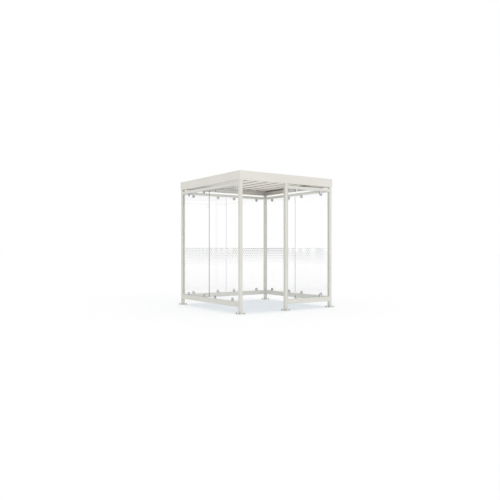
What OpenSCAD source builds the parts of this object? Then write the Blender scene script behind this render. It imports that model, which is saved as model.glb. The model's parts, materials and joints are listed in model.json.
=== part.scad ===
// Square glazed shelter: a square-tube frame, clamped glass walls with one open bay
// at the front, and a ribbed steel roof held low behind a deep folded fascia.
// The front faces -Y, the left side faces -X and +Z is up. The origin is on the
// ground in the middle of the plan.

/* [Plan and height] */
// Distance between post centres from left to right
bay_w = 2000; // [1600:10:2600]
// Distance between post centres from front to back
bay_d = 2000; // [1600:10:2600]
// Height from the ground to the top of the fascia
total_h = 2380; // [2200:10:2800]

/* [Posts and base plates] */
// Outside width of the square posts, and depth of the rails between them
post_s = 56; // [40:1:80]
// Wall thickness of the posts and rails
tube_wall = 3; // [2:0.5:4]
// Inside corner radius of the posts and rails
tube_bend = 2; // [1:0.5:4]
// Side of the square base plates
base_s = 130; // [120:5:200]
// Thickness of the base plates
base_t = 10; // [6:1:20]
// Corner radius of the base plates
base_r = 10; // [4:1:20]
// Diameter of the anchor holes
anchor_d = 14; // [10:1:18]
// Distance from the edge of a base plate to the middle of an anchor hole
anchor_edge = 17.5; // [14:0.5:20]

/* [Rails] */
// Clear height between the ground and the bottom rails
sill_lift = 115; // [60:5:200]
// Height of the bottom rails
sill_h = 85; // [60:5:140]
// Height of the top rails
head_h = 50; // [40:5:80]
// Open gap between the top rails and the fascia
head_gap = 35; // [20:5:80]

/* [Glass] */
// Thickness of the glass
glass_t = 8; // [6:1:12]
// Gap between a post and the edge of the glass
side_gap = 20; // [10:1:40]
// Gap between two panels side by side
panel_gap = 10; // [5:1:30]
// Gap between a rail and the edge of the glass
rail_gap = 18; // [12:1:25]

/* [Glass clamps] */
// Width of a clamp along its rail
clamp_w = 45; // [36:1:60]
// How far a clamp stands out from its rail
clamp_reach = 55; // [50:1:80]
// Thickness of each clamp jaw
jaw_t = 10; // [6:0.5:12]
// Thickness of the gasket between jaw and glass
gasket_t = 1.5; // [1:0.5:3]
// How far the gasket stops short of the rim of its jaw
gasket_inset = 2; // [1:0.5:5]
// Distance from the side edge of a panel to the middle of a clamp
clamp_inset = 190; // [80:5:300]

/* [Fascia] */
// Height of the fascia
fascia_h = 152; // [140:1:250]
// How far the fascia stands out beyond the posts
fascia_out = 7; // [2:1:40]
// Thickness of the folded fascia plate
fascia_t = 3; // [2:0.5:5]
// Inside bend radius of the fascia folds
fascia_bend = 3; // [1:0.5:8]
// How far the flanges of the fascia reach inwards past the posts
flange_lap = 5; // [2:1:40]

/* [Roof] */
// Distance from the top of the fascia down to the highest ribs
roof_drop = 14; // [8:1:40]
// Distance between the ribs of the roof sheet
rib_pitch = 233; // [180:1:400]
// Height of the ribs
rib_h = 39; // [20:1:50]
// Width of a rib at its crest
rib_crest = 60; // [30:1:80]
// Width of a rib at its foot
rib_foot = 80; // [60:1:110]
// Width of the raised edge along each side fascia, at its crest
edge_crest = 60; // [30:1:70]
// Width of the shallow stiffening grooves in the pans between the ribs
swage_w = 24; // [12:1:30]
// Height of the stiffening grooves
swage_h = 3; // [1:0.5:6]
// Thickness of the roof sheet
sheet_t = 1; // [0.6:0.1:2]
// Clearance between the fascia and the edges of the roof sheet
sheet_gap = 2; // [1:0.5:10]
// Leg length of the angle bearers under the roof sheet
bearer_s = 40; // [30:1:50]
// Thickness of the angle bearers
bearer_t = 3; // [2:0.5:6]

/* [Hidden] */
$fn = 48;

// Walls in their order round the plan, anticlockwise as seen from above
WALLS = ["front", "right", "back", "left"];

// Colours of the finishes
coat = [0.86, 0.85, 0.81];
sheet_coat = [0.80, 0.79, 0.77];
pane = [0.80, 0.88, 0.87, 0.35];
clamp_metal = [0.55, 0.56, 0.57];
black_rubber = [0.08, 0.08, 0.08];

// Levels from the ground up
sill_z = sill_lift + sill_h;
fascia_z = total_h - fascia_h;
head_z = fascia_z - head_gap - head_h;
glass_z = sill_z + rail_gap;
glass_h = head_z - rail_gap - glass_z;
sheet_z = total_h - roof_drop - rib_h - 2 * sheet_t;

// The entrance post stands one side gap clear of the front panel
entrance_x = panel_gap / 2 - side_gap - post_s / 2;

// The clamps hold glass and gaskets in a slot above a solid foot
slot_t = glass_t + 2 * gasket_t;
clamp_foot = rail_gap - gasket_t;

// The fascia flanges cover the posts, and the roof fits inside the fascia webs
flange_w = fascia_out + post_s + flange_lap;
web_line = post_s / 2 + fascia_out;
roof_w = bay_w + 2 * (web_line - fascia_t - sheet_gap);
roof_d = bay_d + 2 * (web_line - fascia_t - sheet_gap);

// The ribs are set out from the raised edge on the right, and the first one leaves a flat strip, at
// least as wide as a groove, beside the raised edge on the left. Two sheets lap over a middle rib
edge_foot = edge_crest + (rib_foot - rib_crest) / 2;
edge_x = (roof_w - edge_foot) / 2;
rib_count = floor((edge_x + roof_w / 2 - edge_foot - swage_w - rib_foot / 2) / rib_pitch);
lap_rib = floor(rib_count / 2);
rib_slope = atan2(rib_h, (rib_foot - rib_crest) / 2);
lap_grow = sheet_t * tan(rib_slope / 2);
pan_w = rib_pitch - rib_foot;

// Small overlap that carries a cut past the face it starts from
cut = 1;

// Turn that brings the front wall to the place of another
function wall_turn(wall) = [for (i = [0 : len(WALLS) - 1]) if (WALLS[i] == wall) 90 * i][0];

// Whether a wall runs from left to right
function runs_across(wall) = wall == "front" || wall == "back";

// Distance between post centres along a wall
function wall_span(wall) = runs_across(wall) ? bay_w : bay_d;

// Distance from the middle of the plan to the centre line of a wall
function wall_offset(wall) = (runs_across(wall) ? bay_d : bay_w) / 2;

// Width of each panel in a wall
function panel_w(wall) = (wall_span(wall) - post_s - panel_gap) / 2 - side_gap;

// Middle of a panel along its wall, on the side -1 or 1
function panel_u(wall, side) = side * (panel_gap + panel_w(wall)) / 2;

// Sides of a wall that hold glass: the entrance takes one half of the front
function glazed_sides(wall) = wall == "front" ? [1] : [-1, 1];

// Where the rails of a wall start and end between its posts
function rail_start(wall) = (wall == "front" ? entrance_x : -wall_span(wall) / 2) + post_s / 2;
function rail_end(wall) = (wall_span(wall) - post_s) / 2;

// Middle of a rib across the roof
function rib_x(i) = edge_x - (rib_count - i) * rib_pitch;

// Four corners of a folded rib, moved out by lift across its own thickness
function fold(x, foot, crest, height, lift) =
  let (k = lift * tan(atan2(height, (foot - crest) / 2) / 2))
  [
    [x - foot / 2 - k, lift],
    [x - crest / 2 - k, height + lift],
    [x + crest / 2 + k, height + lift],
    [x + foot / 2 + k, lift]
  ];

function rib(i, lift) = fold(rib_x(i), rib_foot, rib_crest, rib_h, lift);

// The two stiffening grooves in the pan to the right of a rib
function swages(i, lift) = [
  for (side = [-1, 1])
    each fold(rib_x(i) + rib_pitch / 2 + side * pan_w / 5, swage_w, swage_w / 2, swage_h, lift)
];

// A rib that fits over the rib of the next sheet, cut off half-way down its far flank
function lap(i, lift) =
  let (
    foot = rib_foot + 2 * (lap_grow + sheet_t / tan(rib_slope)),
    f = fold(rib_x(i), foot, rib_crest + 2 * lap_grow, rib_h + sheet_t, lift)
  )
  [f[0], f[1], f[2], (f[2] + f[3]) / 2];

// The raised edge along the left or right fascia, from the fascia inwards
function raised_edge(side, lift) =
  let (f = fold(side * roof_w / 2, 2 * edge_foot, 2 * edge_crest, rib_h, lift))
  [[side * roof_w / 2, rib_h + lift], each side < 0 ? [f[2], f[3]] : [f[1], f[0]]];

function left_sheet_line(lift) = [
  each raised_edge(-1, lift),
  for (i = [0 : lap_rib - 1]) each concat(rib(i, lift), swages(i, lift)),
  each lap(lap_rib, lift)
];

function right_sheet_line(lift) = [
  for (k = [1 : 3]) rib(lap_rib, lift)[k],
  each swages(lap_rib, lift),
  for (i = [lap_rib + 1 : rib_count - 1]) each concat(rib(i, lift), swages(i, lift)),
  each backwards(raised_edge(1, lift))
];

function backwards(points) = [for (i = [len(points) - 1 : -1 : 0]) points[i]];

// Moves to the middle of a wall: X runs along it and Y points into the shelter
module on_wall(wall) {
  rotate([0, 0, wall_turn(wall)]) translate([0, -wall_offset(wall), 0]) children();
}

// Stands a profile's own Y upright and draws it out along X
module along_x(length) {
  rotate([90, 0, 90]) linear_extrude(length) children();
}

// Square with rounded corners, centred
module soft_square(w, h, r) {
  square([w - 2 * r, h], center = true);
  square([w, h - 2 * r], center = true);
  for (x = [-1, 1], y = [-1, 1])
    translate([x * (w / 2 - r), y * (h / 2 - r)]) circle(r);
}

// Section of a welded tube, centred
module tube_section(w, h) {
  difference() {
    soft_square(w, h, tube_bend + tube_wall);
    soft_square(w - 2 * tube_wall, h - 2 * tube_wall, tube_bend);
  }
}

module post(x, y) {
  color(coat) translate([x, y, base_t]) linear_extrude(fascia_z - base_t) tube_section(post_s, post_s);
}

module base_plate(x, y) {
  pitch = base_s / 2 - anchor_edge;
  color(coat) translate([x, y, 0]) linear_extrude(base_t) difference() {
    soft_square(base_s, base_s, base_r);
    for (i = [-1, 1], j = [-1, 1]) translate([i * pitch, j * pitch]) circle(d = anchor_d);
  }
}

// Horizontal tube between the posts of a wall, with its underside at z
module rail(wall, z, height) {
  length = rail_end(wall) - rail_start(wall);
  color(coat) on_wall(wall) translate([rail_start(wall), 0, z + height / 2])
    along_x(length) tube_section(post_s, height);
}

module bottom_rail(wall) rail(wall, sill_lift, sill_h);

module top_rail(wall) rail(wall, head_z, head_h);

module glass(wall, side) {
  color(pane) on_wall(wall)
    translate([panel_u(wall, side) - panel_w(wall) / 2, -glass_t / 2, glass_z])
      cube([panel_w(wall), glass_t, glass_h]);
}

// Outline of a clamp jaw: square on the rail and round at its far end
module jaw_outline(w, reach) {
  translate([-w / 2, 0]) square([w, reach - w / 2]);
  translate([0, reach - w / 2]) circle(d = w);
}

// Jaw plate standing on the rail, from depth y inwards
module jaw(w, reach, y, t) {
  translate([0, y + t, 0]) rotate([90, 0, 0]) linear_extrude(t) jaw_outline(w, reach);
}

// Places a part at every clamp of a wall, with Z pointing away from the rail
module at_clamps(wall) {
  throw = panel_w(wall) / 2 - clamp_inset;
  on_wall(wall)
    for (side = glazed_sides(wall), end = [-1, 1], top = [0, 1])
      translate([panel_u(wall, side) + end * throw, 0, top ? head_z : sill_z])
        mirror([0, 0, top]) children();
}

// Outer jaw with the foot that is screwed to the rail
module clamp_bodies(wall) {
  color(clamp_metal) at_clamps(wall) {
    jaw(clamp_w, clamp_reach, -slot_t / 2 - jaw_t, jaw_t);
    translate([-clamp_w / 2, -slot_t / 2, 0]) cube([clamp_w, slot_t, clamp_foot]);
  }
}

// Inner jaw that is screwed against the foot
module clamp_covers(wall) {
  color(clamp_metal) at_clamps(wall) jaw(clamp_w, clamp_reach, slot_t / 2, jaw_t);
}

// Channel gasket folded round the edge of the glass
module clamp_gaskets(wall) {
  w = clamp_w - 2 * gasket_inset;
  color(black_rubber) at_clamps(wall) difference() {
    jaw(w, clamp_reach - gasket_inset, -slot_t / 2, slot_t);
    translate([-clamp_w / 2, -slot_t / 2 - cut, -cut]) cube([clamp_w, slot_t + 2 * cut, clamp_foot + cut]);
    translate([-clamp_w / 2, -glass_t / 2, rail_gap]) cube([clamp_w, glass_t, clamp_reach]);
  }
}

// Plate outline with its two folds at X = 0 rounded
module folded_edge(w, h, r) {
  translate([r, 0]) square([w - r, h]);
  translate([0, r]) square([w, h - 2 * r]);
  for (y = [r, h - r]) translate([r, y]) circle(r);
}

// Channel section, open towards the inside of the roof
module fascia_section() {
  difference() {
    folded_edge(flange_w, fascia_h, fascia_bend + fascia_t);
    translate([fascia_t, fascia_t]) folded_edge(flange_w, fascia_h - 2 * fascia_t, fascia_bend);
  }
}

// Folded channel along one side of the roof, mitred at both ends
module fascia(wall) {
  length = wall_span(wall) + 2 * web_line;
  color(coat) on_wall(wall) translate([0, -web_line, fascia_z]) intersection() {
    translate([-length / 2, 0, 0]) along_x(length) fascia_section();
    translate([0, 0, -cut]) linear_extrude(fascia_h + 2 * cut)
      polygon([[-length / 2 - cut, -cut], [length / 2 + cut, -cut], [0, length / 2]]);
  }
}

// Folded sheet from the front fascia to the back one, given by its two faces
module roof_sheet(lower, upper) {
  color(sheet_coat) translate([0, roof_d / 2, sheet_z]) rotate([90, 0, 0]) linear_extrude(roof_d)
    polygon(concat(lower, backwards(upper)));
}

// Angle on the inside of a fascia that carries the ends of the roof sheets
module roof_bearer(wall) {
  color(coat) on_wall(wall) translate([-roof_w / 2, fascia_t - web_line, sheet_z]) along_x(roof_w)
    polygon([
      [0, 0], [0, -bearer_s], [bearer_t, -bearer_s],
      [bearer_t, -bearer_t], [bearer_s, -bearer_t], [bearer_s, 0]
    ]);
}

post(-bay_w / 2, -bay_d / 2);  // front_left_post
post(bay_w / 2, -bay_d / 2);  // front_right_post
post(-bay_w / 2, bay_d / 2);  // back_left_post
post(bay_w / 2, bay_d / 2);  // back_right_post
post(entrance_x, -bay_d / 2);  // entrance_post
base_plate(-bay_w / 2, -bay_d / 2);  // front_left_base
base_plate(bay_w / 2, -bay_d / 2);  // front_right_base
base_plate(-bay_w / 2, bay_d / 2);  // back_left_base
base_plate(bay_w / 2, bay_d / 2);  // back_right_base
base_plate(entrance_x, -bay_d / 2);  // entrance_base
bottom_rail("front");  // front_bottom_rail
bottom_rail("right");  // right_bottom_rail
bottom_rail("back");  // back_bottom_rail
bottom_rail("left");  // left_bottom_rail
top_rail("front");  // front_top_rail
top_rail("right");  // right_top_rail
top_rail("back");  // back_top_rail
top_rail("left");  // left_top_rail
glass("front", 1);  // front_glass
glass("right", -1);  // right_front_glass
glass("right", 1);  // right_back_glass
glass("back", -1);  // back_right_glass
glass("back", 1);  // back_left_glass
glass("left", -1);  // left_back_glass
glass("left", 1);  // left_front_glass
clamp_bodies("front");  // front_clamp_bodies
clamp_bodies("right");  // right_clamp_bodies
clamp_bodies("back");  // back_clamp_bodies
clamp_bodies("left");  // left_clamp_bodies
clamp_covers("front");  // front_clamp_covers
clamp_covers("right");  // right_clamp_covers
clamp_covers("back");  // back_clamp_covers
clamp_covers("left");  // left_clamp_covers
clamp_gaskets("front");  // front_clamp_gaskets
clamp_gaskets("right");  // right_clamp_gaskets
clamp_gaskets("back");  // back_clamp_gaskets
clamp_gaskets("left");  // left_clamp_gaskets
fascia("front");  // front_fascia
fascia("right");  // right_fascia
fascia("back");  // back_fascia
fascia("left");  // left_fascia
roof_sheet(left_sheet_line(0), left_sheet_line(sheet_t));  // roof_sheet_left
roof_sheet(right_sheet_line(0), right_sheet_line(sheet_t));  // roof_sheet_right
roof_bearer("front");  // front_roof_bearer
roof_bearer("back");  // back_roof_bearer
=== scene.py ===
"""Looks of a square glazed shelter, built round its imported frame.

The front faces -Y, +Z is up and every length is in metres. The steel is redrawn with its
true bends and softened edges, the glass walls get their clamps and dot band, and node
trees set out what repeats.
"""

import json
import logging
import math
from dataclasses import dataclass
from enum import Enum
from typing import Any, Iterator, Optional, Sequence

import bmesh
import bpy
from bmesh.types import BMEdge, BMesh, BMVert
from bpy.types import Material, Mesh, Node, NodeSocket, NodeTree
from mathutils import Matrix, Vector


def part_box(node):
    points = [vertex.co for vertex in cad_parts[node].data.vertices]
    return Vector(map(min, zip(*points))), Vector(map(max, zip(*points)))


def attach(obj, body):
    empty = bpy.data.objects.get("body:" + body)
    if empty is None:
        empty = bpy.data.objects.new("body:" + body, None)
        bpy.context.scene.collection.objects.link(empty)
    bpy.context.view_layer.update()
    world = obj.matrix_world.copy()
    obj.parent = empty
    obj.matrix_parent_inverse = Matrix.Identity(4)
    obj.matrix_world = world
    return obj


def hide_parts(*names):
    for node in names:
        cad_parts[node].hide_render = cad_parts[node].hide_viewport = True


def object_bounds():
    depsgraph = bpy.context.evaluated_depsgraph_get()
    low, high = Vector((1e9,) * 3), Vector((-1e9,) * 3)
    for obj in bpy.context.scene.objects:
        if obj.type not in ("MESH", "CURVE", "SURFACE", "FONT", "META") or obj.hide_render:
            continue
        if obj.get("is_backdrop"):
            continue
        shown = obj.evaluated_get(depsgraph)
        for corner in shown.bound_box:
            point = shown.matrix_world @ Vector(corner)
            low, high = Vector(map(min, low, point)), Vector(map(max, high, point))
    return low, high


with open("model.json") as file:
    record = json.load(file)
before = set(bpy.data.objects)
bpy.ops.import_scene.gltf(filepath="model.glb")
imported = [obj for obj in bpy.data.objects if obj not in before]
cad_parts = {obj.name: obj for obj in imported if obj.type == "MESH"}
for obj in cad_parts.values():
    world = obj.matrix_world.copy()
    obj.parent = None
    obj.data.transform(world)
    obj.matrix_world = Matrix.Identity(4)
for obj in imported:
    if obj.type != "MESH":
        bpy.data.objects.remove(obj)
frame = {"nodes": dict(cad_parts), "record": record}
CAD_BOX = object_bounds()

LOG = logging.getLogger("shelter")
BODY = "root"
POSTS = ("front_left", "front_right", "back_left", "back_right", "entrance")
MM = 0.001
HEX = 6
WHITE = (1.0, 1.0, 1.0, 1.0)

# How near counts as the same point, level or plane
SAME_POINT = 0.01 * MM
SAME_LEVEL = 0.1 * MM
SAME_PLANE = math.radians(0.5)

# Folds flatter than this are shaded smooth
SMOOTH_BELOW = math.radians(32)

# How far large faces rule the shading, up to 100
LARGE_FACES_RULE = 100
FACES_EVEN = 50

Pair = tuple[float, float]
Triple = tuple[float, float, float]
Paint = tuple[float, float, float, float]


class Slot(Enum):
    """Material slots of the record."""

    FRAME = "frame_coat"
    ROOF = "roof_sheet_coat"
    GLASS = "glass"
    CLAMP = "clamp_metal"
    GASKET = "gasket_rubber"


class Wall(Enum):
    """The four sides, numbered anticlockwise from the front as seen from above."""

    FRONT = 0
    RIGHT = 1
    BACK = 2
    LEFT = 3

    def node(self, what: str) -> str:
        """Name of something on this wall, as the CAD nodes spell it."""
        return f"{self.name.lower()}_{what}"

    @property
    def turn(self) -> Matrix:
        """Matrix that turns front-wall coordinates to this wall."""
        return Matrix.Rotation(self.value * math.pi / 2, 4, "Z")

    @property
    def panels(self) -> list[str]:
        """Glass nodes, named for the walls they reach to. The front has one, beside the entrance."""
        if self is Wall.FRONT:
            return [self.node("glass")]
        return [self.node(Wall((self.value + step) % 4).node("glass")) for step in (-1, 1)]


class Rail(Enum):
    """The two rails that hold the glass, as their node names spell them."""

    BOTTOM = "bottom_rail"
    TOP = "top_rail"


def linear(*screen: int) -> Triple:
    """Turn a screen colour into the linear values that shaders use, by the usual screen curve.

    Args:
        *screen: Red, green and blue from 0 to 255.

    Returns:
        The three linear channels.
    """
    shares = (value / 255 for value in screen)
    return tuple(s / 12.92 if s <= 0.04045 else ((s + 0.055) / 1.055) ** 2.4 for s in shares)


def shade(colour: Triple, factor: float = 1.0) -> Paint:
    """Scale a linear colour and add full alpha."""
    return (*(min(1.0, part * factor) for part in colour), 1.0)


class NodeSketch:
    """Shared shorthand for building a node tree."""

    def __init__(self, tree: NodeTree) -> None:
        """Empty the tree that the nodes go into."""
        self.tree = tree
        tree.nodes.clear()

    def node(self, kind: str, inputs: Optional[dict[Any, Any]] = None, **settings: Any) -> Node:
        """Add one node.

        Args:
            kind: Blender's name for the node type.
            inputs: Values or sockets for its inputs, by name or index.
            **settings: Properties of the node itself.

        Returns:
            The new node.
        """
        made = self.tree.nodes.new(kind)
        for name, value in settings.items():
            setattr(made, name, value)
        for name, value in (inputs or {}).items():
            self.feed(value, made.inputs[name])
        return made

    def out(
        self, kind: str, inputs: Optional[dict[Any, Any]] = None, output: Any = 0, **settings: Any
    ) -> NodeSocket:
        """Add one node and return one of its outputs, by name or index."""
        return self.node(kind, inputs, **settings).outputs[output]

    def math(self, operation: str, first: Any, second: Any = 0.0, **settings: Any) -> NodeSocket:
        """Add a math node and return its result."""
        return self.out("ShaderNodeMath", {0: first, 1: second}, operation=operation, **settings)

    def feed(self, value: Any, socket: NodeSocket) -> None:
        """Link a socket, or set a plain value.

        Args:
            value: The socket or value to feed in.
            socket: The input that takes it.
        """
        if isinstance(value, NodeSocket):
            self.tree.links.new(value, socket)
        else:
            socket.default_value = value


class ShaderSketch(NodeSketch):
    """A material with one Principled surface and the textures that drive it."""

    def __init__(self, name: str) -> None:
        """Start the material with a bare Principled surface."""
        self.material = bpy.data.materials.new(name)
        self.material.use_nodes = True
        super().__init__(self.material.node_tree)
        self.output = self.node("ShaderNodeOutputMaterial").inputs["Surface"]
        self.surface = self.node("ShaderNodeBsdfPrincipled")
        self.feed(self.surface.outputs["BSDF"], self.output)
        self.place = self.out("ShaderNodeTexCoord", output="Object")

    def drive(self, **values: Any) -> None:
        """Set the surface's sockets, named with underscores for spaces."""
        for name, value in values.items():
            self.feed(value, self.surface.inputs[name.replace("_", " ")])

    def noise(self, scale: float, detail: float = 3.0, stretch: Triple = (1.0, 1.0, 1.0)) -> NodeSocket:
        """Cloudy noise over the object's own coordinates.

        Args:
            scale: Features in a metre, roughly.
            detail: Finer octaves.
            stretch: Extra scale along X, Y and Z.

        Returns:
            The factor socket.
        """
        mapped = self.out("ShaderNodeMapping", {"Vector": self.place, "Scale": stretch})
        return self.out("ShaderNodeTexNoise", {"Vector": mapped, "Scale": scale, "Detail": detail}, "Fac")

    def spread(
        self, factor: NodeSocket, low: float, high: float, start: float = 0.3, end: float = 0.7
    ) -> NodeSocket:
        """Map a factor from one range to another.

        Args:
            factor: The socket to map.
            low: Result at start.
            high: Result at end.
            start: Lower end of the factor's range.
            end: Upper end of the factor's range.

        Returns:
            The mapped socket.
        """
        names = ("Value", "From Min", "From Max", "To Min", "To Max")
        values = dict(zip(names, (factor, start, end, low, high)))
        return self.out("ShaderNodeMapRange", values, "Result")

    def ramp(
        self, factor: NodeSocket, low: Paint, high: Paint, start: float = 0.3, end: float = 0.7
    ) -> NodeSocket:
        """Colour a factor.

        Args:
            factor: The socket to colour.
            low: Colour at start.
            high: Colour at end.
            start: Lower end of the factor's range.
            end: Upper end of the factor's range.

        Returns:
            The colour socket.
        """
        made = self.node("ShaderNodeValToRGB", {"Fac": factor})
        for point, where, colour in zip(made.color_ramp.elements, (start, end), (low, high)):
            point.position = where
            point.color = colour
        return made.outputs["Color"]

    def mottle(self, factor: NodeSocket, colour: Triple, painted_edge_shades: Pair) -> NodeSocket:
        """Shade a colour from one tone to another by a factor."""
        return self.ramp(factor, *(shade(colour, tone) for tone in painted_edge_shades))

    def blend(self, factor: NodeSocket, first: Any, second: Any) -> NodeSocket:
        """Mix two colours by a factor."""
        return self.out("ShaderNodeMix", {0: factor, 6: first, 7: second}, 2, data_type="RGBA")

    def normal(self) -> NodeSocket:
        """Which way the surface looks."""
        return self.out("ShaderNodeNewGeometry", output="Normal")

    def upward(self, vector: NodeSocket) -> NodeSocket:
        """Z of a vector."""
        return self.out("ShaderNodeSeparateXYZ", {"Vector": vector}, "Z")

    def height(self, low: float, high: float) -> NodeSocket:
        """Height above the ground as a factor, 0 at low and 1 at high."""
        return self.spread(self.upward(self.place), 0.0, 1.0, low, high)

    def outward(self, low: float, high: float) -> NodeSocket:
        """How far a face looks away from the middle of the plan.

        Args:
            low: Outward lean that counts as 0, negative for faces that look inwards.
            high: Outward lean that counts as 1.

        Returns:
            The factor socket.
        """
        plan = self.out("ShaderNodeVectorMath", {0: self.place, 1: (1.0, 1.0, 0.0)}, operation="MULTIPLY")
        ends = {0: self.normal(), 1: plan}
        lean = self.out("ShaderNodeVectorMath", ends, "Value", operation="DOT_PRODUCT")
        return self.spread(lean, 0.0, 1.0, low, high)

    def bump(self, height: NodeSocket, depth: float, strength: float) -> NodeSocket:
        """Turn a height into a normal, with its depth in metres."""
        inputs = {"Height": height, "Distance": depth, "Strength": strength}
        return self.out("ShaderNodeBump", inputs, "Normal")


class TreeSketch(NodeSketch):
    """A geometry tree that starts from sites and ends in real faces with a material."""

    def __init__(self, name: str) -> None:
        """Start the tree with the inputs that all trees share."""
        super().__init__(bpy.data.node_groups.new(name, "GeometryNodeTree"))
        self.tree.interface.new_socket("Geometry", in_out="OUTPUT", socket_type="NodeSocketGeometry")
        self.source = self.node("NodeGroupInput")
        self.sites = self.setting("Sites", "NodeSocketGeometry")
        self.material = self.setting("Material", "NodeSocketMaterial")

    def setting(self, name: str, kind: str = "NodeSocketFloat") -> NodeSocket:
        """Add a named input and return its socket inside the tree."""
        self.tree.interface.new_socket(name, in_out="INPUT", socket_type=kind)
        return self.source.outputs[name]

    def close(self, pattern: NodeSocket) -> NodeTree:
        """Put a pattern at every site with the turn stored there, make the copies real and coat them.

        Args:
            pattern: The socket that carries its geometry.

        Returns:
            The finished tree.
        """
        stored = self.out("GeometryNodeInputNamedAttribute", {"Name": "turn"}, data_type="FLOAT_VECTOR")
        turn = self.out("FunctionNodeEulerToRotation", {0: stored})
        inputs = {"Points": self.sites, "Instance": pattern, "Rotation": turn}
        real = self.out("GeometryNodeRealizeInstances", {0: self.out("GeometryNodeInstanceOnPoints", inputs)})
        coated = self.out("GeometryNodeSetMaterial", {0: real, "Material": self.material})
        self.node("NodeGroupOutput", {0: coated})
        return self.tree


@dataclass(frozen=True)
class Finish:
    """A surface with a name that can be made into a material."""

    name: str

    def paint(self, sketch: ShaderSketch) -> None:
        """Drive the surface of a new material, in each finish's own way."""
        raise NotImplementedError

    def build(self) -> Material:
        """Make the material.

        Returns:
            The material.
        """
        sketch = ShaderSketch(self.name)
        self.paint(sketch)
        return sketch.material


@dataclass(frozen=True)
class CoatFinish(Finish):
    """Powder or coil coat on steel: faint cloudiness, an orange-peel skin, dust low down, and painted light
    and shade where asked.
    """

    colour: Triple
    gloss: Pair = (0.36, 0.46)
    gloss_scale: float = 36.0
    cloud: Pair = (0.965, 1.02)
    cloud_scale: float = 2.3
    grain: Triple = (1.0, 1.0, 1.0)
    peel_scale: float = 420.0
    peel_depth: float = 0.25 * MM
    peel_strength: float = 0.12
    dust: Triple = (0.80, 0.79, 0.76)
    dust_top: float = 0.30
    dust_most: float = 0.35
    dust_scale: float = 14.0
    # Paler tone for faces that look inwards: painted light on the shaded inner faces
    painted_light_inside: Optional[Triple] = None
    inward_lean: Pair = (-0.5, -0.3)
    # Paler tone for faces that look down: painted light from below
    painted_light_underside: Optional[Triple] = None
    underside_lean: Pair = (-0.1, 0.0)
    # Over these heights above the pan, faces that look down darken to this share of their tone: painted shade
    # in the rib hollows
    hollow_z: float = 0.0
    hollow_rise: float = 9 * MM
    hollow_painted_shade: float = 0.55

    def underside(self, sketch: ShaderSketch, tone: NodeSocket) -> NodeSocket:
        """Paint faces that look down paler as light from below, with painted shade up in the hollows of ribs.

        Args:
            sketch: The material under way.
            tone: Its colour elsewhere.

        Returns:
            The colour socket.
        """
        depth = sketch.height(self.hollow_z, self.hollow_z + self.hollow_rise)
        below = sketch.ramp(depth, shade(self.painted_light_underside), shade(self.painted_light_underside, self.hollow_painted_shade), 0.0, 1.0)
        facing = sketch.upward(sketch.normal())
        return sketch.blend(sketch.spread(facing, 1.0, 0.0, *self.underside_lean), tone, below)

    def paint(self, sketch: ShaderSketch) -> None:
        """Drive the coat's colour, gloss and skin.

        Args:
            sketch: The material under way.
        """
        tone = sketch.mottle(sketch.noise(self.cloud_scale, stretch=self.grain), self.colour, self.cloud)
        if self.painted_light_inside is not None:
            tone = sketch.blend(sketch.outward(*self.inward_lean), shade(self.painted_light_inside), tone)
        if self.painted_light_underside is not None:
            tone = self.underside(sketch, tone)
        specks = sketch.spread(sketch.noise(self.dust_scale, detail=4.0), 0.0, self.dust_most)
        dusty = sketch.math("MULTIPLY", sketch.height(self.dust_top, 0.0), specks, use_clamp=True)
        dust = (*(part * share for part, share in zip(self.colour, self.dust)), 1.0)
        skin = sketch.noise(self.peel_scale, detail=2.0)
        sketch.drive(
            Base_Color=sketch.blend(dusty, tone, dust),
            Roughness=sketch.spread(sketch.noise(self.gloss_scale, stretch=self.grain), *self.gloss),
            Normal=sketch.bump(skin, self.peel_depth, self.peel_strength),
        )


@dataclass(frozen=True)
class MetalFinish(Finish):
    """Bare or plated metal with a drawn grain and cloudy polish."""

    colour: Triple
    gloss: Pair
    grain: Triple = (1.0, 1.0, 1.0)
    grain_scale: float = 900.0
    grain_depth: float = 0.05 * MM
    grain_strength: float = 0.15
    cloud: Pair = (0.90, 1.06)
    cloud_scale: float = 45.0

    def paint(self, sketch: ShaderSketch) -> None:
        """Drive the metal's colour, polish and grain.

        Args:
            sketch: The material under way.
        """
        lines = sketch.noise(self.grain_scale, detail=2.0, stretch=self.grain)
        sketch.drive(
            Base_Color=sketch.mottle(sketch.noise(self.cloud_scale), self.colour, self.cloud),
            Metallic=1.0,
            Roughness=sketch.spread(lines, *self.gloss),
            Normal=sketch.bump(lines, self.grain_depth, self.grain_strength),
        )


@dataclass(frozen=True)
class GlassFinish(Finish):
    """Clear toughened glass that lets lamps through, a little dusty near its foot."""

    clear: Triple
    dusty: Triple
    dust_range: Pair
    ior: float = 1.5
    passes: float = 0.965
    smear: float = 0.012
    smear_scale: float = 5.0

    def paint(self, sketch: ShaderSketch) -> None:
        """Drive the glass, and let diffuse and shadow rays straight through it.

        Args:
            sketch: The material under way.
        """
        rise = sketch.height(*self.dust_range)
        sketch.drive(
            Base_Color=sketch.ramp(rise, shade(self.dusty), shade(self.clear), 0.0, 1.0),
            Transmission_Weight=1.0,
            IOR=self.ior,
            Roughness=sketch.spread(sketch.noise(self.smear_scale), 0.0, self.smear),
        )
        passing = sketch.out("ShaderNodeBsdfTransparent", {"Color": shade(self.clear, self.passes)})
        path = sketch.node("ShaderNodeLightPath").outputs
        shown = sketch.surface.outputs["BSDF"]
        for ray in ("Is Diffuse Ray", "Is Shadow Ray"):
            shown = sketch.out("ShaderNodeMixShader", {0: path[ray], 1: shown, 2: passing})
        sketch.feed(shown, sketch.output)


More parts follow.
